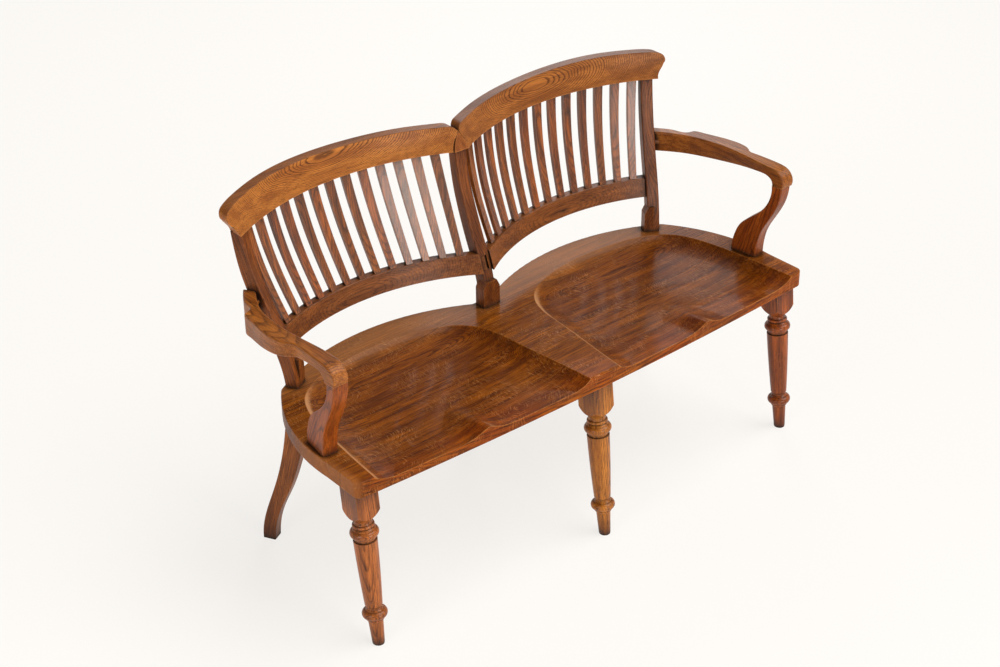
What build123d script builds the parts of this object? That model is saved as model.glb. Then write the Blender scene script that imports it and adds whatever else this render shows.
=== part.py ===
from build123d import *
import math
import os

# Seat plank
seat_top = 441.0
seat_thickness = 41.0
seat_front_middle = (0.0, -26.0)
seat_front_corner = (679.5, -6.0)
seat_side_start = (678.5, 100.0)
seat_side_middle = (660.7, 255.0)
seat_back_corner = (588.0, 394.0)
seat_back_peak = (310.0, 475.0)
seat_cusp = (30.0, 402.0)
seat_corner_radius = 18.0
seat_back_corner_radius = 22.0
seat_edge_round = 3.0

# Hollows in the seat: plan outline of the right one, then its bowl as shares of that outline with the
# depth of each share
dish_outline_points = (
    (642.0, -80.0), (634.0, 19.0), (621.0, 147.0), (600.0, 265.0), (566.0, 335.0), (513.0, 372.0),
    (430.0, 394.0), (335.0, 402.0), (240.0, 394.0), (174.0, 376.0), (117.0, 346.0), (86.0, 305.0),
    (66.0, 200.0), (50.0, 60.0), (36.0, -80.0))
dish_anchor = (335.0, -40.0)
dish_level_shares = (1.006, 1.0, 0.985, 0.965, 0.935, 0.9, 0.85, 0.78, 0.7, 0.6, 0.5)
dish_level_depths = (-2.0, 0.0, 4.6, 8.6, 12.5, 15.6, 18.6, 21.0, 22.4, 23.2, 23.5)

# Front of each hollow: a sill that rises to the front edge and a soft ridge in its middle, as depths
# under the rim at distances along Y, then the height of the ridge's flanks
ridge_ys = (-60.0, -22.0, 10.0, 40.0, 75.0, 105.0, 135.0)
ridge_depths = (0.5, 2.5, 6.0, 10.5, 16.5, 21.5, 26.0)
sill_depths = (15.5, 18.5, 20.8, 22.6, 24.2, 25.5, 27.0)
ridge_flank_xs = (85.0, 56.0, 34.0, 16.0)
ridge_flank_shares = (0.0, 0.07, 0.3, 0.72)

# Front legs: turned outline as (kind, radius, height), an arc names its crown first
leg_inset = 37.5
leg_end_setback = 4.0
leg_middle_lead = 12.0
leg_rake_run = 45.0
leg_foot_radius = 12.9
leg_foot_spare = 3.0
leg_outline = (
    ("line", 13.9, 3.0), ("line", 16.8, 60.0), ("line", 20.0, 64.0), ("line", 20.0, 69.0),
    ("arc", 28.5, 79.0, 20.0, 89.0), ("line", 16.5, 93.0), ("line", 16.5, 97.0), ("line", 19.6, 101.0),
    ("arc", 24.2, 190.0, 26.6, 266.0), ("line", 23.0, 268.0), ("line", 23.0, 270.5),
    ("line", 25.5, 272.5), ("line", 25.5, 275.0), ("arc", 32.0, 284.5, 25.5, 294.0),
    ("line", 24.0, 296.0), ("line", 21.0, 299.5), ("arc", 24.5, 304.0, 21.0, 308.5),
    ("arc", 19.6, 313.5, 21.0, 318.0), ("line", 25.0, 322.0), ("line", 25.0, 330.0))
block_width = 58.0
block_bottom = 322.0
block_bell_radius = 25.0
block_bell_crown = (32.0, 329.0)
block_bell_shoulder = (42.5, 345.0)
block_spare = 40.0
block_edge_round = 1.5
leg_tenon_radius = 12.5
leg_tenon_length = 19.0

# Back: both halves are turned about an upright line, radii are taken from that line
back_axis_x = 308.0
back_axis_y = -60.0
end_post_angle = 28.6
middle_post_setback = 11.8

# Posts: radii of the front and back edge at shares of the height from seat to crest rail
post_width = 31.0
post_height_shares = (0.0, 0.159, 0.305, 0.445, 0.58, 0.714, 0.854, 1.0)
post_front_radii = (498.0, 507.0, 523.0, 545.0, 565.0, 583.0, 597.0, 606.0)
post_back_radii = (529.0, 540.0, 559.0, 581.0, 600.0, 616.0, 627.0, 634.0)
post_edge_round = 3.0
post_foot_reach = 9.0
post_foot_reach_shares = (1.0, 1.0, 0.55, 0.0)
post_foot_rises = (0.0, 47.0, 56.0, 65.0)
post_foot_inset = 1.0
post_tenon_width = 17.0
post_tenon_depth = 17.0
post_tenon_length = 17.0
post_top_tenon_width = 18.0
post_top_tenon_depth = 12.0
post_top_tenon_length = 24.0

# Rear legs: radii of the front and back edge at shares of the height under the seat
rear_leg_width = 30.0
rear_leg_height_shares = (0.0, 0.0625, 0.145, 0.24, 0.37, 0.6175, 0.825, 1.0)
rear_leg_front_radii = (586.0, 583.8, 577.5, 564.3, 541.0, 508.0, 488.0, 481.0)
rear_leg_back_radii = (617.5, 616.3, 610.0, 598.5, 580.0, 552.0, 538.0, 531.0)
rear_leg_edge_round = 2.5
rear_leg_tenon_width = 18.0
rear_leg_tenon_depth = 22.0
rear_leg_tenon_length = 17.0

# Lower back rails
rail_bottom = 527.0
rail_top = 572.0
rail_front_low = 523.0
rail_front_high = 538.0
rail_thickness = 22.0
rail_angles = (-44.0, 34.0)
rail_edge_bevel = 1.2
rail_tenon_length = 12.0
rail_tenon_height = 30.0
rail_tenon_thickness = 9.0

# Slats: angles of the first and last foot and head, then radii of the front face at shares of
# the height from the lower rail to the crest rail
slats_per_back = 13
slat_foot_angles = (-28.3, 23.8)
slat_head_angles = (-24.3, 25.4)
slat_height_shares = (0.0, 0.22, 0.45, 0.7, 1.0)
slat_front_radii = (542.0, 564.5, 585.5, 603.0, 617.0)
slat_depth = 11.0
slat_width_low = 18.0
slat_width_high = 23.0
slat_edge_round = 1.2
slat_tenon_depth = 7.0
slat_tenon_width = 14.0
slat_tenon_length = 14.0
slat_lean_low_share = 0.44
slat_lean_high_share = 0.16

# Crest rails: front outline as (x, rise over the bottom edge)
crest_bottom = 812.0
crest_front_low = 600.0
crest_thick_low = 37.0
crest_section_height = 76.0
crest_front_run = 27.0
crest_thick_high = 27.0
crest_hollow = 3.0
crest_inner_end = ((21.5, 0.0), (19.5, 8.0), (14.0, 20.0), (6.5, 33.0), (2.0, 44.0))
crest_top_points = (
    (2.0, 44.0), (9.0, 52.5), (27.0, 55.5), (95.0, 57.5), (205.0, 59.5), (333.0, 62.5), (420.0, 65.0),
    (510.0, 65.5), (590.0, 63.0), (629.0, 60.0), (644.0, 54.0), (647.5, 45.0), (642.5, 34.0))
crest_outer_end = ((642.5, 34.0), (634.0, 22.0), (625.5, 11.0), (621.0, 0.0))
crest_angles = (-44.0, 42.0)
crest_edge_round = 3.0

# Keystone between the crest rails
keystone_lead = 8.0
keystone_front_run = 18.0
keystone_thick_low = 37.0
keystone_thick_high = 30.0

# Arms: plan outline of the right one, then its side outline as (y, rise over the joint)
arm_joint = 650.0
arm_plan_outer = (
    (603.0, 441.0), (617.5, 469.0), (632.0, 448.0), (647.0, 418.0), (653.0, 392.0), (660.0, 383.0),
    (674.0, 378.0), (684.0, 352.0), (691.0, 314.0), (698.0, 262.0), (696.0, 222.0), (689.0, 203.0),
    (680.5, 190.0), (679.5, 170.0), (681.5, 133.0), (683.5, 90.0), (681.0, 30.0))
arm_plan_inner = (
    (646.5, 30.0), (645.0, 80.0), (647.0, 134.0), (652.0, 190.0), (654.5, 254.0), (650.0, 318.0),
    (638.0, 372.0), (620.0, 412.0), (603.0, 441.0))
arm_top_points = (
    (480.0, 25.0), (440.0, 26.5), (373.0, 30.0), (314.0, 34.0), (257.0, 37.5), (200.0, 40.5),
    (133.0, 42.5), (90.0, 42.0), (66.0, 37.0), (53.5, 26.0), (51.5, 0.0))
arm_under_points = (
    (84.0, 0.0), (89.0, 11.0), (101.0, 17.0), (125.0, 17.5), (153.0, 14.0), (230.0, 0.5),
    (300.0, -11.0), (365.0, -19.0), (440.0, -26.0), (480.0, -29.0))
arm_edge_round = 4.0
arm_rear_tenon_radius = 6.0
arm_rear_tenon_length = 13.0
arm_rear_tenon_setback = 18.5

# Arm supports: side outline as y at shares of the height from seat to arm, turned in plan
support_width = 36.0
support_turn = 7.5
support_inset = 16.0
support_pivot_y = 54.0
support_front_ys = (118.0, 117.5, 114.0, 106.0, 93.0, 75.0, 62.0, 56.0, 54.0)
support_front_height_shares = (0.0, 0.091, 0.22, 0.354, 0.478, 0.636, 0.78, 0.904, 1.0)
support_back_ys = (190.0, 189.0, 182.0, 168.0, 146.0, 116.0, 93.0, 84.5, 84.0)
support_back_height_shares = (0.0, 0.091, 0.23, 0.368, 0.474, 0.598, 0.751, 0.88, 1.0)
support_edge_round = 2.5
support_peg_radius = 6.0
support_peg_length = 15.0
support_top_peg_y = 69.0
support_foot_peg_ys = (136.0, 172.0)
support_foot_peg_length = 13.0

# Fits and working values
joint_gap = 0.15
socket_gap = 0.25
socket_spare_depth = 1.0
cut_overrun = 300.0
round_shares = (1.0, 0.6, 0.3)

seat_bottom = seat_top - seat_thickness
leg_stand_x = seat_front_corner[0] - leg_inset
support_pivot = (seat_front_corner[0] - support_inset, support_pivot_y)
back_reach = crest_front_low + cut_overrun


def mirrored(shape):
    return shape.mirror(Plane.YZ)


def rounded(shape, edges, radius):
    for share in round_shares:
        try:
            result = shape.fillet(radius * share, list(edges))
            if result.is_valid and result.volume < shape.volume:
                return result
        except Exception:
            continue
    print("left sharp: an edge set did not take a round of", radius)
    return shape


def on_back_circle(shape, angle):
    """Carry a shape drawn with its radius along X to its place on the right half of the back."""
    return shape.rotate(Axis.Z, 90.0 - angle).moved(Location((back_axis_x, back_axis_y, 0.0)))


def middle_shift():
    """From a radius on the back circle to Y on the middle plane, where the lower rails meet."""
    radius = (rail_front_low + rail_front_high + rail_thickness) / 2
    span = back_axis_x - post_width / 2
    return back_axis_y + math.sqrt(radius * radius - span * span) - radius + middle_post_setback


def on_middle(shape):
    """Carry the same kind of shape to the middle plane of the settee."""
    return shape.rotate(Axis.Z, 90.0).moved(Location((0.0, middle_shift(), 0.0)))


def edge_points(places, shares, low, high):
    """Points of an edge: a place at each share of the height between two levels."""
    return [(place, low + (high - low) * share) for place, share in zip(places, shares)]


def upright_face(points):
    """A flat face in the XZ plane through straight sided points."""
    return Plane.XZ * make_face(Polyline(*points, close=True))


def even_slab(face, width):
    """Thicken a flat face equally to both sides of its own plane."""
    slab = extrude(face, amount=width)
    middle = slab.bounding_box().center() - face.bounding_box().center()
    return slab.moved(Location(tuple(-middle)))


def board_between(front, back, width):
    """A sawn board: two flowing edges given as (radius, height), sides flat and parallel."""
    front_curve = Spline(*front)
    back_curve = Spline(*back)
    foot = Line(front[0], back[0])
    head = Line(front[-1], back[-1])
    face = Plane.XZ * make_face([front_curve, head, back_curve, foot])
    return even_slab(face, width)


def long_edges(shape, least):
    return [edge for edge in shape.edges() if edge.length > least]


def box_at(low, high):
    """A box between two opposite corners."""
    size = [b - a for a, b in zip(low, high)]
    middle = [(a + b) / 2 for a, b in zip(low, high)]
    return Box(*size).moved(Location(tuple(middle)))


# Front legs

def turned_leg_body():
    lines = []
    here = (leg_foot_radius, -leg_foot_spare)
    lines.append(Line((0.0, -leg_foot_spare), here))
    for step in leg_outline:
        if step[0] == "line":
            there = (step[1], step[2])
            lines.append(Line(here, there))
        else:
            there = (step[3], step[4])
            lines.append(ThreePointArc(here, (step[1], step[2]), there))
        here = there
    lines.append(Line(here, (0.0, here[1])))
    lines.append(Line((0.0, here[1]), (0.0, -leg_foot_spare)))
    return revolve(Plane.XZ * make_face(lines), Axis.Z)


def leg_block():
    """Square block whose lower corners run into the round."""
    top = seat_bottom + block_spare
    half = block_width / 2
    square = box_at((-half, -half, block_bottom), (half, half, top))
    upright = [edge for edge in square.edges().filter_by(Axis.Z)]
    square = rounded(square, upright, block_edge_round)
    bell = make_face([
        Line((0.0, block_bottom), (block_bell_radius, block_bottom)),
        ThreePointArc((block_bell_radius, block_bottom), block_bell_crown, block_bell_shoulder),
        Line(block_bell_shoulder, (block_bell_shoulder[0], top)),
        Line((block_bell_shoulder[0], top), (0.0, top)),
        Line((0.0, top), (0.0, block_bottom))])
    return square & revolve(Plane.XZ * bell, Axis.Z)


def rake_angle():
    return math.degrees(math.atan2(leg_rake_run, seat_bottom))


def raked(shape, foot_x, foot_y):
    return shape.rotate(Axis.X, -rake_angle()).moved(Location((foot_x, foot_y, 0.0)))


def leg_tenon(grow, extra):
    """Round tenon on the slanted leg axis, or its socket when it is grown."""
    start = (seat_bottom - block_width / 2) / math.cos(math.radians(rake_angle()))
    end = (seat_bottom + leg_tenon_length + extra) / math.cos(math.radians(rake_angle()))
    peg = Cylinder(leg_tenon_radius + grow, end - start)
    return peg.moved(Location((0.0, 0.0, (start + end) / 2)))


def front_leg(foot_x, foot_y):
    leg = raked(turned_leg_body() + leg_block(), foot_x, foot_y)
    reach = cut_overrun
    room = box_at((foot_x - reach, foot_y - reach, 0.0), (foot_x + reach, foot_y + reach, seat_bottom))
    return (leg & room) + raked(leg_tenon(0.0, 0.0), foot_x, foot_y)


def front_leg_places():
    return {
        "front_leg_left": (-leg_stand_x, seat_front_corner[1] + leg_end_setback),
        "front_leg_middle": (0.0, seat_front_middle[1] - leg_middle_lead),
        "front_leg_right": (leg_stand_x, seat_front_corner[1] + leg_end_setback)}


# Rear legs and posts, drawn once with the radius along X

def peg_box(middle_radius, depth, width, low, high):
    half_depth = depth / 2
    half_width = width / 2
    return box_at(
        (middle_radius - half_depth, -half_width, low), (middle_radius + half_depth, half_width, high))


def rear_leg_tenon(grow, extra):
    middle = (rear_leg_front_radii[-1] + rear_leg_back_radii[-1]) / 2
    return peg_box(
        middle, rear_leg_tenon_depth + 2 * grow, rear_leg_tenon_width + 2 * grow,
        seat_bottom, seat_bottom + rear_leg_tenon_length + extra)


def rear_leg():
    front = edge_points(rear_leg_front_radii, rear_leg_height_shares, 0.0, seat_bottom)
    back = edge_points(rear_leg_back_radii, rear_leg_height_shares, 0.0, seat_bottom)
    board = board_between(front, back, rear_leg_width)
    board = rounded(board, long_edges(board, seat_bottom), rear_leg_edge_round)
    return board + rear_leg_tenon(0.0, 0.0)


def post_tenon(grow, extra):
    middle = (post_front_radii[0] + post_back_radii[0]) / 2
    return peg_box(
        middle, post_tenon_depth + 2 * grow, post_tenon_width + 2 * grow,
        seat_top - post_tenon_length - extra, seat_top)


def post_top_tenon(grow, extra):
    middle = (post_front_radii[-1] + post_back_radii[-1]) / 2
    return peg_box(
        middle, post_top_tenon_depth + 2 * grow, post_top_tenon_width + 2 * grow,
        crest_bottom, crest_bottom + post_top_tenon_length + extra)


def post_front_radius(height):
    """Radius of a post's front edge at a height, straight between the named places."""
    share = (height - seat_top) / (crest_bottom - seat_top)
    steps = list(zip(post_height_shares, post_front_radii))
    for (low, radius_low), (high, radius_high) in zip(steps, steps[1:]):
        if low <= share <= high:
            return radius_low + (radius_high - radius_low) * (share - low) / (high - low)
    return post_front_radii[-1]


def post_foot(side):
    """Small bracket that widens the foot of a post toward one side."""
    half = post_width / 2
    outline = [
        (side * (half + post_foot_reach * share), seat_top + rise)
        for share, rise in zip(post_foot_reach_shares, post_foot_rises)]
    outline = [(0.0, seat_top)] + outline + [(0.0, outline[-1][1])]
    face = Plane.YZ * make_face(Polyline(*outline, close=True))
    start = post_front_radii[0] + post_foot_inset
    slab = extrude(face, amount=post_back_radii[0] - start)
    return slab.moved(Location((start, 0.0, 0.0)))


def post(foot_sides):
    front = edge_points(post_front_radii, post_height_shares, seat_top, crest_bottom)
    back = edge_points(post_back_radii, post_height_shares, seat_top, crest_bottom)
    board = board_between(front, back, post_width)
    board = rounded(board, long_edges(board, crest_bottom - seat_top), post_edge_round)
    for side in foot_sides:
        board = board + post_foot(side)
    return board + post_tenon(0.0, 0.0) + post_top_tenon(0.0, 0.0)


# Lower rails

def rail_section(front_low, front_high, low, high, thickness):
    return upright_face((
        (front_low, low), (front_low + thickness, low),
        (front_high + thickness, high), (front_high, high)))


def turned_band(section, angles):
    """Part of a ring about the back axis, between two angles seen from it."""
    start_angle, end_angle = angles
    ring = revolve(section, Axis.Z, end_angle - start_angle)
    return on_back_circle(ring, end_angle)


def beyond_end_post(gap):
    """All the space outward of the inner face of the end post."""
    room = box_at(
        (0.0, -back_reach, 0.0), (back_reach, post_width / 2 + gap, crest_bottom + cut_overrun))
    return on_back_circle(room, end_post_angle)


def beyond_middle_post(gap):
    """All the space left of the right face of the middle post."""
    return box_at(
        (-back_reach, 0.0, 0.0), (post_width / 2 + gap, back_reach, crest_bottom + cut_overrun))


def between_posts(band, gap):
    """Trim a band of the right back at a distance from both of its posts."""
    return band - beyond_end_post(gap) - beyond_middle_post(gap)


def rail_tongue(grow, extra):
    """The thin band whose two ends stand in the posts, or their slots when it is grown."""
    low = (rail_bottom + rail_top - rail_tenon_height) / 2 - grow
    high = (rail_bottom + rail_top + rail_tenon_height) / 2 + grow
    lean = (rail_front_high - rail_front_low) / (rail_top - rail_bottom)
    front = rail_front_low + (rail_thickness - rail_tenon_thickness) / 2 - grow
    section = rail_section(
        front + lean * (low - rail_bottom), front + lean * (high - rail_bottom), low, high,
        rail_tenon_thickness + 2 * grow)
    return between_posts(turned_band(section, rail_angles), -rail_tenon_length - extra)


def lower_rail():
    section = rail_section(rail_front_low, rail_front_high, rail_bottom, rail_top, rail_thickness)
    section = chamfer(section.vertices(), rail_edge_bevel)
    rail = between_posts(turned_band(section, rail_angles), joint_gap) + rail_tongue(0.0, 0.0)
    for slot in slat_slots("low"):
        rail = rail - slot
    return rail


# Slats

def slat_places():
    """For each slat its middle angle and how far its head stands outward of its foot."""
    places = []
    for index in range(slats_per_back):
        share = index / (slats_per_back - 1)
        foot = slat_foot_angles[0] + (slat_foot_angles[1] - slat_foot_angles[0]) * share
        head = slat_head_angles[0] + (slat_head_angles[1] - slat_head_angles[0]) * share
        places.append(((foot + head) / 2, head - foot))
    return places


def slat_front():
    return edge_points(slat_front_radii, slat_height_shares, rail_top, crest_bottom)


def slat_sides(spread, low, high, width_low, width_high):
    """All the space between two sides that lean outward, between two levels."""
    swing = math.tan(math.radians(spread / 2))
    foot = slat_front_radii[0] * swing
    slope = -(slat_front_radii[-1] * swing + foot) / (crest_bottom - rail_top)
    at_low = foot + slope * (low - rail_top)
    at_high = foot + slope * (high - rail_top)
    face = Plane.YZ * make_face(Polyline(
        (at_low - width_low / 2, low), (at_low + width_low / 2, low),
        (at_high + width_high / 2, high), (at_high - width_high / 2, high), close=True))
    return extrude(face, amount=back_reach)


def slat_tenon(end, spread, grow, extra):
    """Stub at one end of a slat that goes on in its direction, or its slot when it is grown."""
    reach = slat_tenon_length + extra
    if end == "low":
        radius, level, tip, lean = slat_front_radii[0], rail_top, rail_top - reach, slat_lean_low_share
    else:
        radius, level, tip, lean = (
            slat_front_radii[-1], crest_bottom, crest_bottom + reach, slat_lean_high_share)
    front = radius + (slat_depth - slat_tenon_depth) / 2 - grow
    back = radius + (slat_depth + slat_tenon_depth) / 2 + grow
    run = lean * (tip - level)
    face = upright_face(((front, level), (back, level), (back + run, tip), (front + run, tip)))
    slab = even_slab(face, back_reach)
    width = slat_tenon_width + 2 * grow
    return slab & slat_sides(spread, min(level, tip), max(level, tip), width, width)


def slat(spread):
    front = slat_front()
    back = [(radius + slat_depth, height) for radius, height in front]
    board = board_between(front, back, back_reach)
    board = board & slat_sides(spread, rail_top, crest_bottom, slat_width_low, slat_width_high)
    board = rounded(board, long_edges(board, crest_bottom - rail_top), slat_edge_round)
    return board + slat_tenon("low", spread, 0.0, 0.0) + slat_tenon("high", spread, 0.0, 0.0)


def slat_slots(end):
    return [
        on_back_circle(slat_tenon(end, spread, socket_gap, socket_spare_depth), angle)
        for angle, spread in slat_places()]


# Crest rails and keystone

def crest_section():
    high = crest_bottom + crest_section_height
    front_high = crest_front_low + crest_front_run
    front_middle = (
        (crest_front_low + front_high) / 2 + crest_hollow, (crest_bottom + high) / 2)
    return Plane.XZ * make_face([
        ThreePointArc((front_high, high), front_middle, (crest_front_low, crest_bottom)),
        Line((crest_front_low, crest_bottom), (crest_front_low + crest_thick_low, crest_bottom)),
        Line((crest_front_low + crest_thick_low, crest_bottom), (front_high + crest_thick_high, high)),
        Line((front_high + crest_thick_high, high), (front_high, high))])


def over_crest_bottom(points):
    return [(x, crest_bottom + rise) for x, rise in points]


def crest_outline():
    """Front view of the right crest rail, as a block through its whole depth."""
    inner = Spline(*over_crest_bottom(crest_inner_end))
    top = Spline(*over_crest_bottom(crest_top_points))
    outer = Spline(*over_crest_bottom(crest_outer_end))
    bottom = Line(outer @ 1, inner @ 0)
    face = Plane.XZ * make_face([inner, top, outer, bottom])
    return extrude(face, amount=-back_reach)


def crest_rail():
    band = turned_band(crest_section(), crest_angles)
    rail = band & crest_outline()
    free_edges = [edge for edge in rail.edges() if (edge @ 0.5).Z > crest_bottom + crest_edge_round]
    rail = rounded(rail, free_edges, crest_edge_round)
    for slot in slat_slots("high"):
        rail = rail - slot
    rail = rail - on_back_circle(post_top_tenon(socket_gap, socket_spare_depth), end_post_angle)
    return rail


def keystone():
    """Wedge standing on the middle post, between the inner ends of the two crest rails."""
    right = over_crest_bottom([(x - joint_gap, rise) for x, rise in crest_inner_end])
    left = [(-x, z) for x, z in right]
    wedge = make_face([
        Spline(*right), Line(right[-1], left[-1]), Spline(*left), Line(left[0], right[0])])
    wedge = extrude(Plane.XZ * wedge, amount=-back_reach)
    front = post_front_radii[-1] + middle_shift() - keystone_lead
    top = right[-1][1]
    side = Plane.YZ * make_face(Polyline(
        (front, crest_bottom), (front + keystone_thick_low, crest_bottom),
        (front + keystone_front_run + keystone_thick_high, top),
        (front + keystone_front_run, top), close=True))
    block = wedge & even_slab(side, back_axis_x)
    return block - on_middle(post_top_tenon(socket_gap, socket_spare_depth))


# Arms and their supports

def arm_post_peg(grow, extra):
    """Round peg that enters the outer face of the end post."""
    radius = post_front_radius(arm_joint) + arm_rear_tenon_setback
    half = post_width / 2
    reach = arm_rear_tenon_length + extra
    peg = Cylinder(arm_rear_tenon_radius + grow, reach * 2, rotation=(90.0, 0.0, 0.0))
    return on_back_circle(peg.moved(Location((radius, -half, arm_joint))), end_post_angle)


def end_post_room(gap):
    """All the space inward of the outer face of the end post."""
    room = box_at((0.0, -post_width / 2 - gap, 0.0), (back_reach, back_reach, crest_bottom))
    return on_back_circle(room, end_post_angle)


def over_arm_joint(points):
    return [(y, arm_joint + rise) for y, rise in points]


def arm():
    outer = Spline(*arm_plan_outer[1:])
    inner = Spline(*arm_plan_inner)
    plan = make_face([
        Line(arm_plan_outer[0], arm_plan_outer[1]), outer, Line(arm_plan_outer[-1], arm_plan_inner[0]),
        inner])
    plan = extrude(plan, amount=crest_bottom)
    top = Spline(*over_arm_joint(arm_top_points))
    under = Spline(*over_arm_joint(arm_under_points))
    side = make_face([top, Line(top @ 1, under @ 0), under, Line(under @ 1, top @ 0)])
    body = plan & extrude(Plane.YZ * side, amount=crest_bottom)
    body = body - end_post_room(joint_gap)
    free_edges = [
        edge for edge in body.edges()
        if abs((edge @ 0.5).Z - arm_joint) > arm_edge_round and (edge @ 0.5).Y < arm_plan_outer[2][1]]
    return rounded(body, free_edges, arm_edge_round)


def turned_in_plan(shape):
    x, y = support_pivot
    return shape.rotate(Axis((x, y, 0.0), (0.0, 0.0, 1.0)), support_turn)


def support_pegs(grow, extra):
    """Pegs into the arm above and into the seat below."""
    x = support_pivot[0]
    top = Cylinder(support_peg_radius + grow, support_peg_length + extra)
    rise = arm_joint + (support_peg_length + extra) / 2
    pegs = [top.moved(Location((x, support_top_peg_y, rise)))]
    for y in support_foot_peg_ys:
        low = Cylinder(support_peg_radius + grow, support_foot_peg_length + extra)
        pegs.append(low.moved(Location((x, y, seat_top - (support_foot_peg_length + extra) / 2))))
    return [turned_in_plan(peg) for peg in pegs]


def arm_support():
    front = Spline(*edge_points(support_front_ys, support_front_height_shares, seat_top, arm_joint))
    back = Spline(*edge_points(support_back_ys, support_back_height_shares, seat_top, arm_joint))
    side = make_face([front, Line(front @ 1, back @ 1), back, Line(back @ 0, front @ 0)])
    board = even_slab(Plane.YZ * side, support_width)
    board = board.moved(Location((support_pivot[0], 0.0, 0.0)))
    board = rounded(board, long_edges(board, arm_joint - seat_top), support_edge_round)
    board = turned_in_plan(board)
    for peg in support_pegs(0.0, 0.0):
        board = board + peg
    return board


# Seat

def seat_blank():
    with BuildSketch() as plan:
        with BuildLine():
            right = seat_front_corner
            left = (-right[0], right[1])
            ThreePointArc(left, seat_front_middle, right)
            for side in (1, -1):
                corner = (side * right[0], right[1])
                start = (side * seat_side_start[0], seat_side_start[1])
                middle = (side * seat_side_middle[0], seat_side_middle[1])
                end = (side * seat_back_corner[0], seat_back_corner[1])
                peak = (side * seat_back_peak[0], seat_back_peak[1])
                cusp = (side * seat_cusp[0], seat_cusp[1])
                Line(corner, start)
                ThreePointArc(start, middle, end)
                ThreePointArc(end, peak, cusp)
            Line((seat_cusp[0], seat_cusp[1]), (-seat_cusp[0], seat_cusp[1]))
        make_face()
        front = plan.vertices().sort_by(Axis.Y)[:2]
        fillet(front, seat_corner_radius)
        sides = plan.vertices().sort_by(Axis.X)
        rear = [point for point in sides if abs(abs(point.X) - seat_back_corner[0]) < joint_gap]
        fillet(rear, seat_back_corner_radius)
    plank = extrude(plan.sketch, amount=seat_thickness).moved(Location((0.0, 0.0, seat_bottom)))
    level_edges = [edge for edge in plank.edges() if abs((edge @ 0).Z - (edge @ 1).Z) < joint_gap]
    return rounded(plank, level_edges, seat_edge_round)


def ridge_section(y, ridge_depth, sill_depth):
    sill = seat_top - sill_depth
    rise = sill_depth - ridge_depth
    flank = [(-x, sill + rise * share) for x, share in zip(ridge_flank_xs, ridge_flank_shares)]
    profile = flank + [(0.0, sill + rise)] + [(-x, z) for x, z in reversed(flank)]
    top = Spline(*[(dish_anchor[0] + x, y, z) for x, z in profile], tangents=((1, 0, 0), (1, 0, 0)))
    corners = [
        top @ 1, (seat_front_corner[0], y, sill), (seat_front_corner[0], y, seat_bottom),
        (0.0, y, seat_bottom), (0.0, y, sill), top @ 0]
    return Wire([top] + [Line(start, end) for start, end in zip(corners, corners[1:])])


def ridge():
    """Sill and ridge that stay standing in the front of the right hand hollow."""
    return Solid.make_loft(
        [ridge_section(*level) for level in zip(ridge_ys, ridge_depths, sill_depths)])


def dish():
    """Bowl of the right hand hollow, open over the front edge."""
    anchor_x, anchor_y = dish_anchor
    wires = []
    for share, depth in zip(dish_level_shares, dish_level_depths):
        points = [
            (anchor_x + (x - anchor_x) * share, anchor_y + (y - anchor_y) * share, seat_top - depth)
            for x, y in dish_outline_points]
        rim = Spline(*points)
        wires.append(Wire([rim, Line(rim @ 1, rim @ 0)]))
    return Solid.make_loft(wires)


def seat_sockets():
    sockets = []
    for foot_x, foot_y in front_leg_places().values():
        sockets.append(raked(leg_tenon(socket_gap, socket_spare_depth), foot_x, foot_y))
    for tool in (rear_leg_tenon, post_tenon):
        grown = tool(socket_gap, socket_spare_depth)
        end = on_back_circle(grown, end_post_angle)
        sockets += [end, mirrored(end), on_middle(grown)]
    pegs = support_pegs(socket_gap, socket_spare_depth)[1:]
    return sockets + pegs + [mirrored(peg) for peg in pegs]


def seat():
    plank = seat_blank()
    hollow = dish() - ridge()
    plank = plank - hollow - mirrored(hollow)
    for socket in seat_sockets():
        plank = plank - socket
    return plank


def all_nodes():
    nodes = {"seat": seat()}
    for name, (foot_x, foot_y) in front_leg_places().items():
        nodes[name] = front_leg(foot_x, foot_y)
    leg = rear_leg()
    nodes["rear_leg_middle"] = on_middle(leg)
    nodes["rear_leg_right"] = on_back_circle(leg, end_post_angle)
    nodes["rear_leg_left"] = mirrored(nodes["rear_leg_right"])
    rail_slots = rail_tongue(socket_gap, socket_spare_depth)
    middle_post = on_middle(post((1, -1))) - rail_slots - mirrored(rail_slots)
    end_post = on_back_circle(post((1,)), end_post_angle) - rail_slots
    end_post = end_post - arm_post_peg(socket_gap, socket_spare_depth)
    nodes["post_middle"] = middle_post
    nodes["post_right"] = end_post
    nodes["post_left"] = mirrored(end_post)
    rail = lower_rail()
    nodes["lower_rail_right"] = rail
    nodes["lower_rail_left"] = mirrored(rail)
    crest = crest_rail()
    nodes["crest_rail_right"] = crest
    nodes["crest_rail_left"] = mirrored(crest)
    nodes["keystone"] = keystone()
    for index, (angle, spread) in enumerate(slat_places(), start=1):
        placed = on_back_circle(slat(spread), angle)
        nodes[f"slat_right_{index:02d}"] = placed
        nodes[f"slat_left_{index:02d}"] = mirrored(placed)
    right_arm = arm() - support_pegs(socket_gap, socket_spare_depth)[0]
    right_arm = right_arm + arm_post_peg(0.0, 0.0)
    nodes["arm_right"] = right_arm
    nodes["arm_left"] = mirrored(right_arm)
    support = arm_support()
    nodes["arm_support_right"] = support
    nodes["arm_support_left"] = mirrored(support)
    return nodes


def about_own_centre(nodes):
    """Slide every node along Y until the origin is under the middle of the whole settee."""
    boxes = [shape.bounding_box() for shape in nodes.values()]
    middle = (min(box.min.Y for box in boxes) + max(box.max.Y for box in boxes)) / 2
    print("middle of the depth was at", middle)
    return {name: shape.moved(Location((0.0, -middle, 0.0))) for name, shape in nodes.items()}


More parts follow.
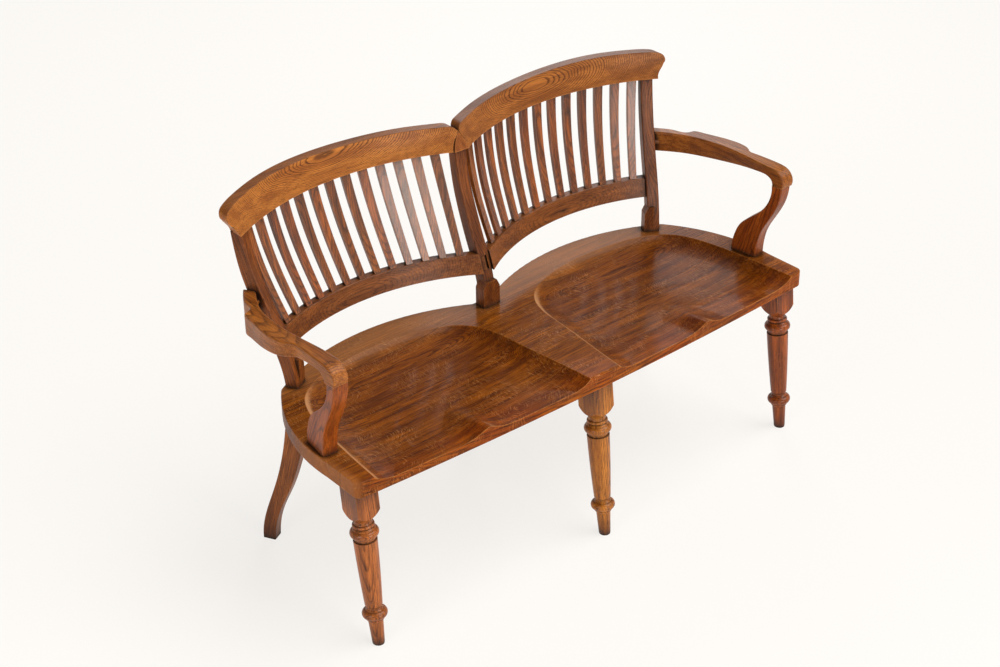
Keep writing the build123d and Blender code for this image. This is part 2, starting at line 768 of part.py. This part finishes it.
os.makedirs("parts", exist_ok=True)
for node_name, node_shape in about_own_centre(all_nodes()).items():
    solids = node_shape.solids()
    if len(solids) != 1 or not node_shape.is_valid:
        print("check", node_name, "solids", len(solids), "valid", node_shape.is_valid)
    export_step(solids[0] if len(solids) == 1 else node_shape, f"parts/{node_name}.step")
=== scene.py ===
import math
import random

import bpy
from mathutils import Matrix, Vector


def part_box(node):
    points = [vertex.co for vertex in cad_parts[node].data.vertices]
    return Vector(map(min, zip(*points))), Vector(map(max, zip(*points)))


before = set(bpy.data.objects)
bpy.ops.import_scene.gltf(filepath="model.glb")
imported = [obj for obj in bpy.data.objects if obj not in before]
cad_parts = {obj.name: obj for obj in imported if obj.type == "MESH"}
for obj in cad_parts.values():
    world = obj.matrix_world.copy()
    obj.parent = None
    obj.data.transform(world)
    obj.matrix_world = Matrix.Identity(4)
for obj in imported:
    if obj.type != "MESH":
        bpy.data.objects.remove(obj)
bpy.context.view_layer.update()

print("frame loaded,", len(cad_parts), "pieces")


# Small helpers for node trees.
# A tone is given as it is written for a screen and turned into the linear values that Blender takes.

def tone(red, green, blue):
    linear = [((part / 255 + 0.055) / 1.055) ** 2.4 for part in (red, green, blue)]
    return tuple(linear) + (1.0,)


def feed(tree, socket, value):
    if isinstance(value, bpy.types.NodeSocket):
        tree.links.new(value, socket)
    else:
        socket.default_value = value


def calc(tree, operation, *values):
    node = tree.nodes.new("ShaderNodeMath")
    node.operation = operation
    for socket, value in zip(node.inputs, values):
        feed(tree, socket, value)
    return node.outputs[0]


def product(tree, first, *others):
    for other in others:
        first = calc(tree, "MULTIPLY", first, other)
    return first


def vectorCalc(tree, operation, *values):
    node = tree.nodes.new("ShaderNodeVectorMath")
    node.operation = operation
    for socket, value in zip(node.inputs, values):
        feed(tree, socket, value)
    return node.outputs["Value"] if operation == "DOT_PRODUCT" else node.outputs[0]


def split(tree, vector):
    node = tree.nodes.new("ShaderNodeSeparateXYZ")
    feed(tree, node.inputs[0], vector)
    return node.outputs


def join(tree, *parts):
    node = tree.nodes.new("ShaderNodeCombineXYZ")
    for socket, value in zip(node.inputs, parts):
        feed(tree, socket, value)
    return node.outputs[0]


def noise(tree, vector, stretch, detail=2.0, roughness=0.5):
    node = tree.nodes.new("ShaderNodeTexNoise")
    feed(tree, node.inputs["Vector"], vectorCalc(tree, "MULTIPLY", vector, stretch))
    node.inputs["Scale"].default_value = 1.0
    node.inputs["Detail"].default_value = detail
    node.inputs["Roughness"].default_value = roughness
    return node.outputs["Fac"]


def fade(tree, value, low, high, lowest=0.0, highest=1.0):
    node = tree.nodes.new("ShaderNodeMapRange")
    node.interpolation_type = "SMOOTHSTEP"
    for name, amount in zip(("Value", "From Min", "From Max", "To Min", "To Max"),
                            (value, low, high, lowest, highest)):
        feed(tree, node.inputs[name], amount)
    return node.outputs[0]


def blend(tree, amount, first, second, how="MIX"):
    node = tree.nodes.new("ShaderNodeMix")
    node.data_type = "RGBA"
    node.blend_type = how
    feed(tree, node.inputs[0], amount)
    feed(tree, node.inputs[6], first)
    feed(tree, node.inputs[7], second)
    return node.outputs[2]


def tint(tree, amount, color, factors):
    return blend(tree, amount, color, blend(tree, 1.0, color, factors, "MULTIPLY"))


def objectPlace(tree):
    return tree.nodes.new("ShaderNodeTexCoord").outputs["Object"]


def facing(tree):
    return split(tree, tree.nodes.new("ShaderNodeNewGeometry").outputs["Normal"])


def newGroup(name, inputs, outputs):
    group = bpy.data.node_groups.new(name, "ShaderNodeTree")
    for direction, sockets in (("INPUT", inputs), ("OUTPUT", outputs)):
        for socketName, kind in sockets.items():
            group.interface.new_socket(socketName, in_out=direction, socket_type="NodeSocket" + kind)
    entry = group.nodes.new("NodeGroupInput")
    leave = group.nodes.new("NodeGroupOutput")
    return group, entry.outputs, leave.inputs


def groupNode(tree, group, place, look, inputs, **others):
    node = tree.nodes.new("ShaderNodeGroup")
    node.node_tree = group
    feed(tree, node.inputs["place"], place)
    for name in inputs:
        if name in look:
            feed(tree, node.inputs[name], look[name])
    for name, value in others.items():
        feed(tree, node.inputs[name], value)
    return node.outputs


# Oak: growth rings about a pith line, open pores along the grain, rays across the rings.
# Place is in metres with the grain along X, and the group works in millimetres.

grainInputs = {
    "place": "Vector", "pith": "Vector", "ringGap": "Float", "wander": "Float", "light": "Color",
    "middle": "Color", "dark": "Color", "ringDepth": "Float", "poreDepth": "Float", "flecks": "Float",
    "streaks": "Float"}
grainNoises = {   # stretch along, across and through the grain, detail, roughness
    "slowWave": ((0.0022, 0.011, 0.011), 2.0, 0.5), "quickWave": ((0.011, 0.05, 0.05), 2.0, 0.5),
    "pores": ((0.030, 0.55, 0.55), 3.0, 0.65), "fibre": ((0.010, 0.20, 0.20), 5.0, 0.68),
    "broad": ((0.0035, 0.05, 0.05), 3.0, 0.55), "bend": ((0.009, 0.013, 0.013), 1.0, 0.5),
    "rayPatch": ((0.012, 0.016, 0.016), 1.0, 0.5), "rays": ((1.0, 1.0, 1.0), 2.0, 0.5)}
grainFades = {   # where each part of the figure starts and where it is full
    "ringStart": (0.0, 0.10), "ringEnd": (0.55, 0.14), "pores": (0.50, 0.62), "fibre": (0.42, 0.66),
    "broad": (0.33, 0.66), "rays": (0.54, 0.66), "rayPatch": (0.40, 0.60)}
grainFigure = {
    "perMetre": 1000.0, "noiseMiddle": 0.5, "quickShare": 0.22, "driftStretch": 0.06, "driftRings": 3.0,
    "poreInRing": 0.6, "poreAnywhere": 0.4, "rayBend": 90.0, "rayAlong": 0.80, "rayAcross": 0.075,
    "poreShade": (0.42, 0.38, 0.36, 1.0), "fleckPale": 0.16, "fleckTone": (1.0, 0.72, 0.4, 1.0),
    "poreHeight": -0.7, "ringHeight": -0.3}


def makeOakGrain():
    group, given, made = newGroup("oakGrain", grainInputs, {"color": "Color", "height": "Float"})
    figure = grainFigure
    place = vectorCalc(group, "SCALE", given["place"])
    place.node.inputs["Scale"].default_value = figure["perMetre"]

    def shape(name, where=place):
        return noise(group, where, *grainNoises[name])

    def wave(name):
        return calc(group, "SUBTRACT", shape(name), figure["noiseMiddle"])

    def shown(name, value):
        return fade(group, value, *grainFades[name])

    fromPith = split(group, vectorCalc(group, "SUBTRACT", place, given["pith"]))
    across, through = fromPith["Y"], fromPith["Z"]
    squared = calc(group, "ADD", product(group, across, across), product(group, through, through))
    radius = calc(group, "SQRT", squared)
    radius = calc(group, "MULTIPLY_ADD", wave("slowWave"), given["wander"], radius)
    quick = product(group, given["wander"], figure["quickShare"])
    radius = calc(group, "MULTIPLY_ADD", wave("quickWave"), quick, radius)
    drift = group.nodes.new("ShaderNodeTexNoise")
    drift.noise_dimensions = "1D"
    feed(group, drift.inputs["W"], product(group, radius, figure["driftStretch"]))
    drift.inputs["Scale"].default_value = 1.0
    ring = calc(group, "MULTIPLY_ADD", drift.outputs["Fac"], figure["driftRings"],
                calc(group, "DIVIDE", radius, given["ringGap"]))
    step = calc(group, "FRACT", ring)
    early = product(group, shown("ringStart", step), shown("ringEnd", step))
    inRings = calc(group, "MULTIPLY_ADD", early, figure["poreInRing"], figure["poreAnywhere"])
    pores = product(group, shown("pores", shape("pores")), inRings)

    leaning = calc(group, "MULTIPLY_ADD", wave("bend"), figure["rayBend"], fromPith["X"])
    rayPlace = join(group, product(group, leaning, figure["rayAlong"]),
                    product(group, across, figure["rayAcross"]),
                    product(group, through, figure["rayAcross"]))
    rays = shown("rays", shape("rays", rayPlace))
    rays = product(group, rays, shown("rayPatch", shape("rayPatch")), given["flecks"])

    body = blend(group, shown("broad", shape("broad")), given["light"], given["middle"])
    streaky = product(group, shown("fibre", shape("fibre")), given["streaks"])
    body = blend(group, streaky, body, given["dark"])
    body = blend(group, product(group, early, given["ringDepth"]), body, given["dark"])
    poreTone = blend(group, 1.0, given["dark"], figure["poreShade"], "MULTIPLY")
    body = blend(group, product(group, pores, given["poreDepth"]), body, poreTone)
    fleckTone = blend(group, figure["fleckPale"], given["light"], figure["fleckTone"])
    feed(group, made["color"], blend(group, rays, body, fleckTone))
    feed(group, made["height"], calc(group, "MULTIPLY_ADD", pores, figure["poreHeight"],
                                     product(group, early, figure["ringHeight"])))
    return group


# What years of hands do, with painted shade: pale rubbed edges, black wax in every corner found by ambient
# occlusion, which is partly painted shade there, and a cloudy polish

wearAndShadeInputs = {
    "place": "Vector", "color": "Color", "rubbed": "Color", "rub": "Float", "grimeAndShade": "Float",
    "corner": "Float"}
wearAndShadeFigure = {
    "edgeRadius": 0.004, "edgeSamples": 4, "edge": (0.985, 0.80), "cornerSamples": 6, "corner": (0.96, 0.45),
    "patches": ((25.0, 60.0, 60.0), 3.0), "patchFade": (0.35, 0.62), "patchShare": 0.6, "evenShare": 0.4,
    "waxAndShade": (0.012, 0.007, 0.004, 1.0), "cloud": ((9.0, 22.0, 22.0), 3.0), "cloudRough": 0.16,
    "cornerRough": 0.25}


def makeWearAndShade():
    group, given, made = newGroup("wearAndShade", wearAndShadeInputs, {"color": "Color", "roughness": "Float"})
    figure = wearAndShadeFigure
    soft = group.nodes.new("ShaderNodeBevel")
    soft.samples = figure["edgeSamples"]
    soft.inputs["Radius"].default_value = figure["edgeRadius"]
    surface = group.nodes.new("ShaderNodeNewGeometry")
    turned = vectorCalc(group, "DOT_PRODUCT", soft.outputs[0], surface.outputs["Normal"])
    edge = fade(group, turned, *figure["edge"])
    patchy = fade(group, noise(group, given["place"], *figure["patches"]), *figure["patchFade"])
    # Ambient occlusion darkens corners towards near-black: partly real wax, partly painted shade
    shelter = group.nodes.new("ShaderNodeAmbientOcclusion")
    shelter.samples = figure["cornerSamples"]
    feed(group, shelter.inputs["Distance"], given["corner"])
    corner = fade(group, shelter.outputs["AO"], *figure["corner"])
    openPart = calc(group, "SUBTRACT", 1.0, corner)
    uneven = calc(group, "MULTIPLY_ADD", patchy, figure["patchShare"], figure["evenShare"])
    rubbed = product(group, edge, given["rub"], openPart, uneven)
    color = blend(group, rubbed, given["color"], given["rubbed"])
    color = blend(group, product(group, corner, given["grimeAndShade"]), color, figure["waxAndShade"])
    cloud = noise(group, given["place"], *figure["cloud"])
    rough = calc(group, "MULTIPLY_ADD", cloud, figure["cloudRough"],
                 product(group, corner, figure["cornerRough"]))
    feed(group, made["color"], color)
    feed(group, made["roughness"], rough)
    return group


oakGrain = makeOakGrain()
wearAndShade = makeWearAndShade()
print("wood groups made")


# One waxed oak, which each piece changes where its own board or wear differs.
# Tones are written as they look on a screen; pith is in millimetres across and through the board.

waxedOak = {
    "light": tone(160, 88, 26), "middle": tone(120, 60, 16), "dark": tone(54, 24, 6),
    "rubbed": tone(180, 116, 60), "pith": (0.0, 40.0, -60.0), "ringGap": 2.8, "wander": 10.0,
    "ringDepth": 0.5, "poreDepth": 0.75, "flecks": 0.12, "streaks": 0.5,
    "rub": 0.5, "grimeAndShade": 0.95, "corner": 0.018, "roughness": 0.36, "gloss": 0.17, "coat": 0.08,
    "coatRoughness": 0.2, "bump": 0.4, "bumpHeight": 0.0004}
boardShift = (2.0, 40.0)   # metres along the grain, drawn for each board so that no two look alike
backAxis = {"x": 0.308, "y": -0.3264}   # upright line that each chair back bends round
middleWidth = 0.02   # a piece nearer to the middle than this faces straight back
sides = {"left": -1, "right": 1}
places = {"left": -1, "middle": 0, "right": 1}
slatCount = 13
alongX, alongY, alongZ = Vector((1, 0, 0)), Vector((0, 1, 0)), Vector((0, 0, 1))


def boardTurn(along, through):
    along = Vector(along).normalized()
    through = Vector(through)
    through = (through - through.project(along)).normalized()
    return Matrix((along, through.cross(along), through))


def middleOf(node):
    low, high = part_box(node)
    return (Vector(low) + Vector(high)) / 2


# The material's tree up to the grain: object coordinates turned so that the grain runs along X

def startOak(name, node, along, through):
    material = bpy.data.materials.new(name)
    material.use_nodes = True
    tree = material.node_tree
    turn = boardTurn(along, through)
    shift = random.Random(name).uniform(*boardShift)
    mapping = tree.nodes.new("ShaderNodeMapping")
    mapping.inputs["Rotation"].default_value = turn.to_euler("XYZ")
    mapping.inputs["Location"].default_value = Vector((shift, 0.0, 0.0)) - turn @ middleOf(node)
    feed(tree, mapping.inputs["Vector"], objectPlace(tree))
    return material, mapping.outputs[0]


def finishOak(material, look, place, shade=None):
    tree = material.node_tree
    shader = tree.nodes["Principled BSDF"]
    grain = groupNode(tree, oakGrain, place, look, grainInputs)
    color = grain["color"] if shade is None else shade(tree, grain["color"])
    wornAndShaded = groupNode(tree, wearAndShade, place, look, wearAndShadeInputs, color=color)
    feed(tree, shader.inputs["Base Color"], wornAndShaded["color"])
    feed(tree, shader.inputs["Roughness"], calc(tree, "ADD", wornAndShaded["roughness"], look["roughness"]))
    shader.inputs["Specular IOR Level"].default_value = look["gloss"]
    shader.inputs["Coat Weight"].default_value = look["coat"]
    shader.inputs["Coat Roughness"].default_value = look["coatRoughness"]
    bump = tree.nodes.new("ShaderNodeBump")
    bump.inputs["Strength"].default_value = look["bump"]
    bump.inputs["Distance"].default_value = look["bumpHeight"]
    feed(tree, bump.inputs["Height"], grain["height"])
    feed(tree, shader.inputs["Normal"], bump.outputs[0])
    return material


def dress(node, material):
    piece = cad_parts[node]
    while len(piece.material_slots) > 1:
        piece.data.materials.pop()
    piece.material_slots[0].material = material


def dressOak(node, name, look, along, through, shade=None):
    material, place = startOak(name, node, along, through)
    dress(node, finishOak(material, look, place, shade))


# Posts, slats and rear legs are sawn from boards that lean, and face away from their back's axis

def outwards(node, side):
    middle = middleOf(node)
    if abs(middle.x) < middleWidth:
        return alongY
    return Vector((middle.x - side * backAxis["x"], middle.y - backAxis["y"], 0.0)).normalized()


def dressUpright(node, name, look, side, shade=None):
    out = outwards(node, side)
    dressOak(node, name, look, out * look["lean"] + alongZ, out, shade)


# Seat: boards glued edge to edge, darker and redder down in the hollows, golden near the front. Painted
# light on it as well: painted shade on hollow slopes that face away from the light, a painted highlight on
# rims that face it, a painted grey reflection towards the back and painted light on both ends.
# Widths and places are in metres in the frame.

# On the seat the pale rubbed edges are raised: partly real wear, partly a painted highlight where the edges
# catch the light
seatLook = dict(
    waxedOak, light=tone(166, 92, 14), middle=tone(119, 60, 9), dark=tone(46, 20, 3),
    ringGap=2.2, wander=14.0, ringDepth=0.55, poreDepth=0.95, flecks=0.65, streaks=0.6, rub=0.85,
    rubbed=tone(190, 124, 62), gloss=0.05, coat=0.11, coatRoughness=0.15)
seatBoard = {
    "width": 0.158, "half": 0.5, "start": -0.37, "jointWidth": 0.0011, "jointDark": 0.7,
    "jointTone": tone(38, 20, 10),
    "alongShift": 1.73, "swing": 2.3, "acrossShift": 0.06,
    "tiltSwing": 4.1, "tiltRange": 0.12, "tiltMiddle": 0.14, "tiltTone": tone(88, 40, 10)}
seatShade = {
    "depth": (0.4405, 0.420), "cloud": ((5.0, 7.0, 7.0), 3.0), "redCloud": (0.30, 0.65, 0.35, 0.8),
    "redFactors": (0.78, 0.68, 0.50, 1.0),
    "back": (0.05, 0.15), "backSheenShare": 0.45, "backSheenTone": tone(150, 100, 58),
    "front": (-0.17, -0.28), "frontCloud": (0.38, 0.6, 0.2, 0.6), "frontFactors": (1.5, 1.08, 0.55, 1.0),
    "inside": (0.4405, 0.4385), "awayFromLight": (-0.04, -0.30), "darkShare": 0.7,
    "darkFactors": (0.60, 0.50, 0.38, 1.0),
    "rimUpper": (0.4410, 0.4395), "rimLower": (0.4310, 0.4350), "toLight": (0.18, 0.50), "rimShare": 0.6,
    "rimTone": tone(206, 152, 104),
    "ends": (0.655, 0.685), "litEndShare": 0.45, "litEndTone": tone(176, 112, 62)}


def seatBoards(tree, spot, place):
    board = seatBoard
    count = calc(tree, "DIVIDE", calc(tree, "SUBTRACT", spot["Y"], board["start"]), board["width"])
    number = calc(tree, "FLOOR", count)
    swing = calc(tree, "SINE", product(tree, number, board["swing"]))
    shift = join(tree, product(tree, number, board["alongShift"]),
                 product(tree, swing, board["acrossShift"]))
    nearest = calc(tree, "PINGPONG", calc(tree, "ADD", count, board["half"]), board["half"])
    gap = product(tree, calc(tree, "SUBTRACT", board["half"], nearest), board["width"])
    return vectorCalc(tree, "ADD", place, shift), number, gap


def dressSeat():
    material, place = startOak("seatOak", "seat", alongX, alongZ)
    tree = material.node_tree
    here = objectPlace(tree)
    spot = split(tree, here)
    place, number, gap = seatBoards(tree, spot, place)
    board, look = seatBoard, seatShade

    def shade(tree, color):
        tilt = calc(tree, "SINE", product(tree, number, board["tiltSwing"]))
        tilt = calc(tree, "MULTIPLY_ADD", tilt, board["tiltRange"], board["tiltMiddle"])
        color = blend(tree, tilt, color, board["tiltTone"])
        deep = fade(tree, spot["Z"], *look["depth"])
        cloudy = noise(tree, here, *look["cloud"])
        red = product(tree, deep, fade(tree, cloudy, *look["redCloud"]))
        color = tint(tree, red, color, look["redFactors"])
        # Painted reflection: a grey sheen on the raised seat towards the back
        backSheen = product(tree, fade(tree, spot["Y"], *look["back"]), calc(tree, "SUBTRACT", 1.0, deep),
                       look["backSheenShare"])
        color = blend(tree, backSheen, color, look["backSheenTone"])
        front = product(tree, fade(tree, spot["Y"], *look["front"]),
                        fade(tree, cloudy, *look["frontCloud"]))
        color = tint(tree, front, color, look["frontFactors"])
        # Painted shade on hollow slopes facing away from the light, and a painted highlight on rims facing
        # it
        normal = facing(tree)
        shaded = product(tree, fade(tree, spot["Z"], *look["inside"]),
                         fade(tree, normal["X"], *look["awayFromLight"]), look["darkShare"])
        color = tint(tree, shaded, color, look["darkFactors"])
        rim = product(tree, fade(tree, spot["Z"], *look["rimUpper"]),
                      fade(tree, spot["Z"], *look["rimLower"]))
        lit = product(tree, rim, fade(tree, normal["X"], *look["toLight"]), look["rimShare"])
        color = blend(tree, lit, color, look["rimTone"])
        # Painted light: both ends of the seat are lightened
        ends = fade(tree, calc(tree, "ABSOLUTE", spot["X"]), *look["ends"])
        color = blend(tree, product(tree, ends, look["litEndShare"]), color, look["litEndTone"])
        seam = product(tree, fade(tree, gap, board["jointWidth"], 0.0), board["jointDark"])
        return blend(tree, seam, color, board["jointTone"])

    dress("seat", finishOak(material, seatLook, place, shade))


dressSeat()
print("seat dressed")


# Crest rails and the wedge between them: the best figured boards, rings almost flat to the front

crestLook = dict(
    waxedOak, light=tone(192, 118, 46), middle=tone(158, 90, 32), dark=tone(78, 38, 10),
    rubbed=tone(192, 128, 70), pith=(0.0, -10.0, 96.0), ringGap=1.9, wander=13.0, ringDepth=0.8,
    poreDepth=0.75, flecks=0.05, streaks=0.3)
crestLooks = {
    "left": crestLook,
    "right": dict(crestLook, light=tone(176, 106, 42), middle=tone(142, 80, 28), pith=(0.0, 14.0, 92.0))}
wedgeLook = dict(crestLook, light=tone(176, 104, 44), middle=tone(138, 74, 26), pith=(0.0, 60.0, 40.0))
crestTopShade = {"upwards": (0.45, 0.85), "share": 0.75, "factors": (0.50, 0.42, 0.32, 1.0)}


# Painted shade: faces that look upwards are darkened, standing in for the rounded-over top of the crest
def shadeCrest(tree, color):
    top = product(tree, fade(tree, facing(tree)["Z"], *crestTopShade["upwards"]), crestTopShade["share"])
    return tint(tree, top, color, crestTopShade["factors"])


for side, look in crestLooks.items():
    dressOak(f"crest_rail_{side}", f"crestOak_{side}", look, alongX, alongY, shadeCrest)
dressOak("keystone", "wedgeOak", wedgeLook, alongZ, alongY)
print("crest rails dressed")


# Lower rails: darker and a little less rubbed

railLook = dict(
    waxedOak, light=tone(146, 82, 32), middle=tone(110, 58, 20), dark=tone(48, 22, 6),
    rubbed=tone(156, 100, 54), pith=(0.0, 20.0, 60.0), ringGap=2.4, ringDepth=0.35, rub=0.45)

for side in sides:
    dressOak(f"lower_rail_{side}", f"railOak_{side}", railLook, alongX, alongY)


# Posts and slats: sawn along their length, dark with streaks of orange, each slat a little different

postLook = dict(
    waxedOak, light=tone(142, 76, 28), middle=tone(104, 52, 18), dark=tone(44, 20, 6),
    rubbed=tone(160, 104, 58), pith=(0.0, 30.0, 50.0), lean=0.27)
slatLook = dict(
    waxedOak, light=tone(162, 86, 28), middle=tone(114, 58, 20), dark=tone(46, 21, 6),
    rubbed=tone(162, 104, 58), ringGap=2.6, wander=8.0, ringDepth=0.5, streaks=0.65, lean=0.27,
    gloss=0.12, coat=0.8, coatRoughness=0.2)
slatSpread = {"tint": 0.16, "warmth": (-0.06, 0.10), "pithAcross": (-25, 25), "pithThrough": (18, 60)}


def slatVariant(chance):
    lift = 1.0 + chance.uniform(-1, 1) * slatSpread["tint"]
    warm = 1.0 + chance.uniform(*slatSpread["warmth"])
    across = chance.uniform(*slatSpread["pithAcross"])
    look = dict(slatLook, pith=(0.0, across, chance.uniform(*slatSpread["pithThrough"])))
    for key in ("light", "middle", "dark"):
        red, green, blue, solid = slatLook[key]
        look[key] = (red * lift * warm, green * lift, blue * lift / warm, solid)
    return look


for place, side in places.items():
    dressUpright(f"post_{place}", f"postOak_{place}", postLook, side)
for side, sign in sides.items():
    for number in range(1, slatCount + 1):
        node = f"slat_{side}_{number:02d}"
        dressUpright(node, f"slatOak_{side}_{number:02d}", slatVariant(random.Random(node)), sign)
print("posts and slats dressed")


# Legs: painted shade makes them darkest under the seat, and they also darken towards their feet, at heights
# in metres.
# The front ones are turned, each from another baulk, and the middle one is pale with dark pores.

rearLegLook = dict(
    waxedOak, light=tone(148, 84, 38), middle=tone(110, 59, 26), dark=tone(46, 21, 8),
    pith=(0.0, 20.0, 45.0), lean=-0.22, rub=0.55)
# A wider corner reach darkens under the turned rings: partly painted shade, partly wax
frontLegLook = dict(waxedOak, rub=0.55, corner=0.03, ringGap=2.2, coat=0.3, coatRoughness=0.14)
frontLegLooks = {
    "left": dict(frontLegLook, light=tone(182, 102, 42), middle=tone(136, 72, 26), dark=tone(56, 25, 8),
                 pith=(0.0, 30.0, 25.0)),
    "middle": dict(frontLegLook, light=tone(192, 118, 38), middle=tone(150, 84, 22), dark=tone(62, 30, 7),
                   pith=(0.0, -25.0, 40.0), poreDepth=0.85),
    "right": dict(frontLegLook, light=tone(172, 84, 24), middle=tone(126, 58, 15), dark=tone(48, 19, 4),
                  pith=(0.0, 20.0, -35.0))}
frontLegRake = Vector((0, 45, 400))
legShade = {"foot": (0.07, 0.0), "head": (0.335, 0.40, 0.0, 0.8), "share": 0.75,
            "factors": (0.40, 0.34, 0.28, 1.0)}


# Painted shade at the head under the seat; darker towards the bottom at the foot
def shadeLeg(tree, color):
    height = split(tree, objectPlace(tree))["Z"]
    dark = calc(tree, "MAXIMUM", fade(tree, height, *legShade["foot"]),
                fade(tree, height, *legShade["head"]))
    return tint(tree, product(tree, dark, legShade["share"]), color, legShade["factors"])


for place, side in places.items():
    dressUpright(f"rear_leg_{place}", f"rearLegOak_{place}", rearLegLook, side, shadeLeg)
for place, look in frontLegLooks.items():
    dressOak(f"front_leg_{place}", f"frontLegOak_{place}", look, frontLegRake, alongY, shadeLeg)


# Arms and the S-shaped pieces under them

armLook = dict(
    waxedOak, light=tone(178, 106, 40), middle=tone(140, 76, 24), dark=tone(66, 30, 8),
    rubbed=tone(200, 140, 88), pith=(0.0, 35.0, -90.0), rub=0.6, gloss=0.18, coat=0.12)
supportLook = dict(
    armLook, light=tone(164, 82, 22), middle=tone(130, 58, 14), dark=tone(64, 26, 6),
    pith=(0.0, 30.0, 60.0))
supportRake = Vector((0, -85, 209))

for side in sides:
    dressOak(f"arm_{side}", f"armOak_{side}", armLook, alongY, alongZ)
    dressOak(f"arm_support_{side}", f"supportOak_{side}", supportLook, supportRake, alongX)
print("legs and arms dressed")


# Floor, light and camera, in metres, degrees and watts

studio = {
    "floorSize": 30.0, "floorGlow": 0.8, "floorTone": (0.965, 0.945, 0.915, 1.0),
    "floorRoughness": 0.9, "floorGloss": 0.1, "airTone": (1.0, 0.965, 0.91, 1.0),
    "airHeights": (0.12, 0.50), "airStrengths": (0.8, 0.19)}   # from the horizon to overhead
skylight = {
    "from": (0.44, -0.30, 0.85), "away": 5.0, "power": 2.45, "spread": 48.0, "tone": (1.0, 0.98, 0.95)}
panels = [
    {"spot": (-0.1, -3.3, 1.0), "faces": (-0.1, 0.1, 0.7), "width": 1.2, "height": 1.5, "power": 44.0,
     "tone": (1.0, 0.95, 0.89)},
    {"spot": (2.3, 2.3, 2.2), "faces": (0.3, 0.0, 0.45), "width": 1.3, "height": 1.3, "power": 24.0,
     "tone": (0.97, 0.98, 1.0)},
    {"spot": (-3.0, -0.7, 1.2), "faces": (-0.6, 0.0, 0.4), "width": 1.0, "height": 1.4, "power": 22.0,
     "tone": (1.0, 0.97, 0.93)}]
view = {   # where the photograph was taken from
    "place": (-2.5675, -2.9606, 2.7943), "turn": 40.267, "down": 31.339, "roll": -0.511,
    "lens": 70.398, "sensor": 36.0, "farthest": 60.0}


def makeFloor():
    half = studio["floorSize"] / 2
    mesh = bpy.data.meshes.new("floor")
    corners = [(-half, -half, 0.0), (half, -half, 0.0), (half, half, 0.0), (-half, half, 0.0)]
    mesh.from_pydata(corners, [], [(0, 1, 2, 3)])
    floor = bpy.data.objects.new("floor", mesh)
    bpy.context.scene.collection.objects.link(floor)
    material = bpy.data.materials.new("paleFloor")
    material.use_nodes = True
    tree = material.node_tree
    shader = tree.nodes["Principled BSDF"]
    shader.inputs["Base Color"].default_value = studio["floorTone"]
    shader.inputs["Roughness"].default_value = studio["floorRoughness"]
    shader.inputs["Specular IOR Level"].default_value = studio["floorGloss"]
    # Only what looks at the floor sees its glow, so shadows stay pale
    glow = tree.nodes.new("ShaderNodeEmission")
    glow.inputs["Color"].default_value = studio["floorTone"]
    path = tree.nodes.new("ShaderNodeLightPath")
    mirrored = calc(tree, "MAXIMUM", path.outputs["Is Glossy Ray"], path.outputs["Is Transmission Ray"])
    seen = calc(tree, "MAXIMUM", path.outputs["Is Camera Ray"], mirrored)
    mixed = tree.nodes.new("ShaderNodeMixShader")
    feed(tree, mixed.inputs[0], product(tree, seen, studio["floorGlow"]))
    feed(tree, mixed.inputs[1], shader.outputs[0])
    feed(tree, mixed.inputs[2], glow.outputs[0])
    feed(tree, tree.nodes["Material Output"].inputs["Surface"], mixed.outputs[0])
    mesh.materials.append(material)


def makeAir():
    world = bpy.data.worlds.new("studioAir")
    world.use_nodes = True
    tree = world.node_tree
    air = tree.nodes["Background"]
    where = tree.nodes.new("ShaderNodeTexCoord")
    height = split(tree, where.outputs["Generated"])["Z"]
    air.inputs["Color"].default_value = studio["airTone"]
    feed(tree, air.inputs["Strength"],
         fade(tree, height, *studio["airHeights"], *studio["airStrengths"]))
    bpy.context.scene.world = world


def placeLamp(data, spot, faces):
    lamp = bpy.data.objects.new(data.name, data)
    lamp.location = spot
    lamp.rotation_euler = (Vector(faces) - Vector(spot)).to_track_quat("-Z", "Y").to_euler()
    lamp.visible_camera = False
    bpy.context.scene.collection.objects.link(lamp)


def makeLamps():
    data = bpy.data.lights.new("skylight", "SUN")
    data.energy = skylight["power"]
    data.color = skylight["tone"]
    data.angle = math.radians(skylight["spread"])
    placeLamp(data, Vector(skylight["from"]) * skylight["away"], (0.0, 0.0, 0.0))
    for number, panel in enumerate(panels):
        data = bpy.data.lights.new(f"panel{number}", "AREA")
        data.shape = "RECTANGLE"
        data.size = panel["width"]
        data.size_y = panel["height"]
        data.energy = panel["power"]
        data.color = panel["tone"]
        placeLamp(data, panel["spot"], panel["faces"])


def makeCamera():
    turn, down, roll = (math.radians(view[key]) for key in ("turn", "down", "roll"))
    ahead = Vector((math.sin(turn) * math.cos(down), math.cos(turn) * math.cos(down), -math.sin(down)))
    level = Vector((math.cos(turn), -math.sin(turn), 0.0))
    upwards = level.cross(ahead)
    right = level * math.cos(roll) + upwards * math.sin(roll)
    top = upwards * math.cos(roll) - level * math.sin(roll)
    data = bpy.data.cameras.new("photographView")
    data.sensor_width = view["sensor"]
    data.lens = view["lens"]
    data.clip_end = view["farthest"]
    camera = bpy.data.objects.new("photographView", data)
    pose = Matrix((right, top, -ahead)).transposed().to_4x4()
    pose.translation = Vector(view["place"])
    camera.matrix_world = pose
    bpy.context.scene.collection.objects.link(camera)
    bpy.context.scene.camera = camera


makeFloor()
makeAir()
makeLamps()
makeCamera()
bpy.context.scene.view_settings.view_transform = "Standard"
print("studio set up")
